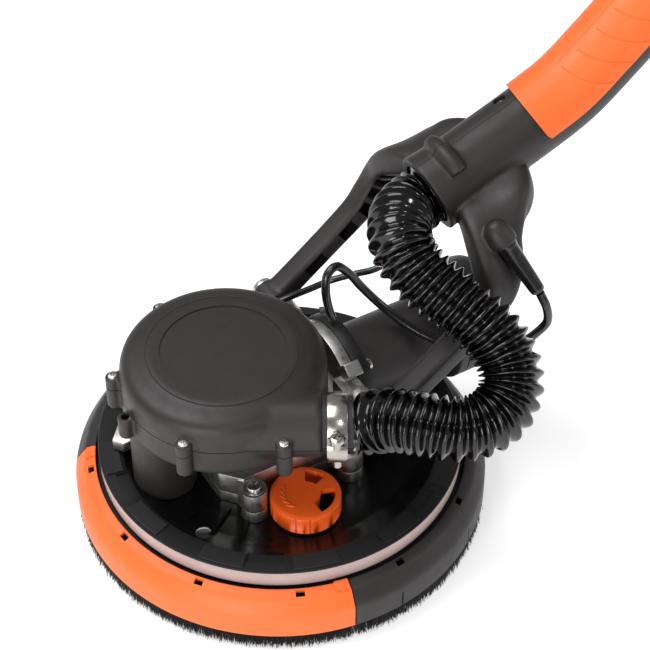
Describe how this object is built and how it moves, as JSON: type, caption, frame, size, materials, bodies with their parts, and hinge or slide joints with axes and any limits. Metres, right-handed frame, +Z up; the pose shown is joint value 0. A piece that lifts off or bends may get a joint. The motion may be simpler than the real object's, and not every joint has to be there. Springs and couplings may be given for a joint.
{
  "type": "long-reach disc sander head",
  "caption": "Powered sanding head with a brush skirt, lamp ring and suction fan, tilting in a fork at the end of a hollow handle that carries the dust away.",
  "frame": {"origin": "centre of the abrasive face of the sanding disc, on the surface it rests on", "axes": "+Z up through the spindle, +X along the motor from the gear case to the handle side, +Y to the left"},
  "size_m": [0.4711, 0.2547, 0.3613],
  "materials": {
    "abrasive": "coarse abrasive paper",
    "foam": "matt closed-cell foam",
    "black_plastic": "satin moulded plastic",
    "gloss_black": "glossy moulded plastic",
    "charcoal_plastic": "fine-textured moulded plastic",
    "orange_plastic": "satin moulded plastic",
    "orange_gloss": "smooth moulded plastic",
    "lamp_diffuser": "milky translucent plastic",
    "cast_aluminium": "fine-blasted die casting",
    "steel": "machined",
    "chrome_steel": "polished band",
    "windings": "laminations and varnished copper",
    "carbon": "pressed carbon",
    "bristle": "nylon bristles",
    "hose_rubber": "smooth corrugated hose",
    "lead_rubber": "smooth rubber sheath"
  },
  "bodies": {
    "drive_head": {"shroud": "gloss_black", "lamp_ring": "lamp_diffuser", "skirt_spring_1": "steel", "skirt_spring_2": "steel", "skirt_spring_3": "steel", "skirt_spring_4": "steel", "gear_case_base": "cast_aluminium", "gear_case": "cast_aluminium", "spindle_bearing_lower": "steel", "spindle_bearing_upper": "steel", "shaft_bearing_lower": "steel", "shaft_bearing_upper": "steel", "pinion_bearing": "steel", "motor_bearing_front": "steel", "motor_bearing_rear": "steel", "fan_shell": "charcoal_plastic", "fan_cover": "charcoal_plastic", "fan_inlet_plate": "black_plastic", "hose_clamp": "chrome_steel", "motor_flange": "black_plastic", "motor_housing": "charcoal_plastic", "motor_end_cap": "charcoal_plastic", "stator": "windings", "carbon_brush_left": "carbon", "carbon_brush_right": "carbon", "pivot_bolt_left": "steel", "pivot_bolt_right": "steel", "suction_hose": "hose_rubber", "motor_lead": "lead_rubber", "lamp_lead": "lead_rubber"},
    "pad": {"abrasive_disc": "abrasive", "foam_pad": "foam", "pad_plate": "black_plastic", "spindle": "steel", "spindle_gear": "steel"},
    "layshaft": {"drive_shaft": "steel", "drive_pinion": "steel", "bevel_wheel": "steel", "impeller": "black_plastic"},
    "motor_rotor": {"armature": "windings", "bevel_pinion": "steel", "cooling_fan": "black_plastic"},
    "skirt": {"skirt_ring": "charcoal_plastic", "rear_brush": "bristle"},
    "skirt_front": {"front_skirt": "orange_plastic", "front_brush": "bristle"},
    "handle": {"handle_left": "charcoal_plastic", "handle_right": "charcoal_plastic", "grip_cover": "orange_plastic", "switch_block": "black_plastic", "speed_module": "black_plastic", "dust_outlet": "black_plastic", "cable_gland": "lead_rubber"},
    "knob": {"suction_knob": "orange_gloss"},
    "trigger_body": {"trigger": "black_plastic"},
    "lock_body": {"lock_button": "black_plastic"},
    "dial_body": {"speed_dial": "black_plastic"}
  },
  "joints": [
    {"name": "pad_spin", "type": "hinge", "parent": "drive_head", "child": "pad", "pos_m": [0, 0, 0], "axis": [0, 0, 1], "continuous": true},
    {"name": "layshaft_spin", "type": "hinge", "parent": "drive_head", "child": "layshaft", "pos_m": [-0.034, 0, 0.078], "axis": [0, 0, 1], "continuous": true},
    {"name": "motor_spin", "type": "hinge", "parent": "drive_head", "child": "motor_rotor", "pos_m": [0, 0, 0.078], "axis": [1, 0, 0], "continuous": true},
    {"name": "skirt_float", "type": "slide", "parent": "drive_head", "child": "skirt", "axis": [0, 0, 1], "range_m": [0, 0.0035], "stiffness_N_per_m": 1500, "deforming": ["skirt_spring_1", "skirt_spring_2", "skirt_spring_3", "skirt_spring_4"]},
    {"name": "front_skirt_release", "type": "slide", "parent": "skirt", "child": "skirt_front", "axis": [-0.9063, -0.4226, 0], "range_m": [0, 0.03]},
    {"name": "suction_knob_turn", "type": "hinge", "parent": "drive_head", "child": "knob", "pos_m": [-0.015, -0.055, 0.05], "axis": [0, 0, 1], "range_deg": [0, 90]},
    {"name": "fork_pitch", "type": "hinge", "parent": "drive_head", "child": "handle", "pos_m": [0.03, 0, 0.095], "axis": [0, 1, 0], "range_deg": [-55, 26], "deforming": ["suction_hose", "motor_lead", "lamp_lead"]},
    {"name": "trigger_pull", "type": "hinge", "parent": "handle", "child": "trigger_body", "pos_m": [0.27027, 0, 0.24977], "axis": [0, 1, 0], "range_deg": [0, 8], "stiffness_Nm_per_rad": 0.6, "springref_deg": -5.73},
    {"name": "lock_press", "type": "slide", "parent": "handle", "child": "lock_body", "axis": [0, 1, 0], "range_m": [0, 0.002], "stiffness_N_per_m": 800, "springref_m": -0.001},
    {"name": "speed_dial_turn", "type": "hinge", "parent": "handle", "child": "dial_body", "pos_m": [0.30158, -0.015, 0.28713], "axis": [0, 1, 0], "range_deg": [0, 270]}
  ],
  "couplings": [
    {"joint": "layshaft_spin", "follows": "pad_spin", "ratio": -3.5},
    {"joint": "motor_spin", "follows": "pad_spin", "ratio": -7}
  ]
}
